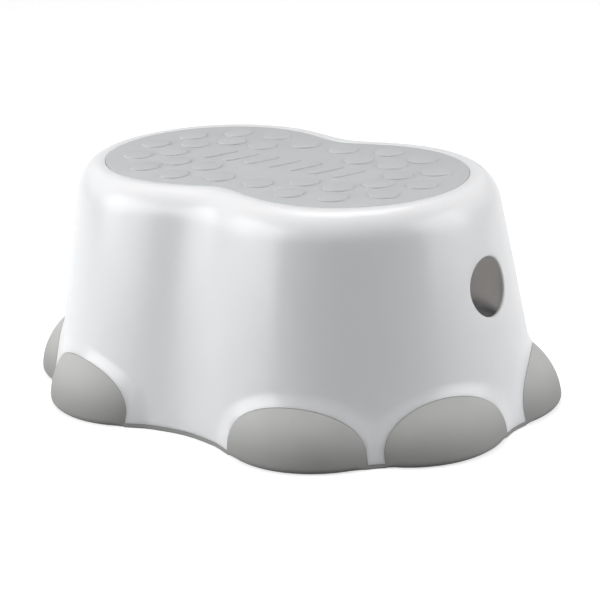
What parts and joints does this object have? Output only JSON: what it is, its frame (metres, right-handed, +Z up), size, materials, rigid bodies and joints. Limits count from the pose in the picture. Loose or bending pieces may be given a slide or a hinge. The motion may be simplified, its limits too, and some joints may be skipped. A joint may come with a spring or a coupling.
{
  "type": "step stool",
  "caption": "Child's moulded step stool: hollow peanut-shaped shell, recessed anti-slip tread mat, finger hole in each end, and soft toe caps and rim strips round the foot.",
  "frame": {"origin": "on the floor, under the middle of the deck", "axes": "+Z up; X along the stool's length; Y across it, with the front at -Y"},
  "size_m": [0.369, 0.2692, 0.156],
  "materials": {
    "shell": "gloss white",
    "mat": "satin light grey",
    "toes": "matte grey",
    "rim": "matte grey"
  },
  "bodies": {
    "root": {"body_shell": "shell", "tread_mat": "mat", "toe_cap_end_front_left": "toes", "toe_cap_end_front_right": "toes", "toe_cap_end_rear_left": "toes", "toe_cap_end_rear_right": "toes", "toe_cap_waist_front_left": "toes", "toe_cap_waist_front_right": "toes", "toe_cap_waist_rear_left": "toes", "toe_cap_waist_rear_right": "toes", "rim_strip_corner_front_left": "rim", "rim_strip_corner_front_right": "rim", "rim_strip_corner_rear_left": "rim", "rim_strip_corner_rear_right": "rim", "rim_strip_waist_front": "rim", "rim_strip_waist_rear": "rim", "rim_strip_end_left": "rim", "rim_strip_end_right": "rim"}
  },
  "joints": []
}
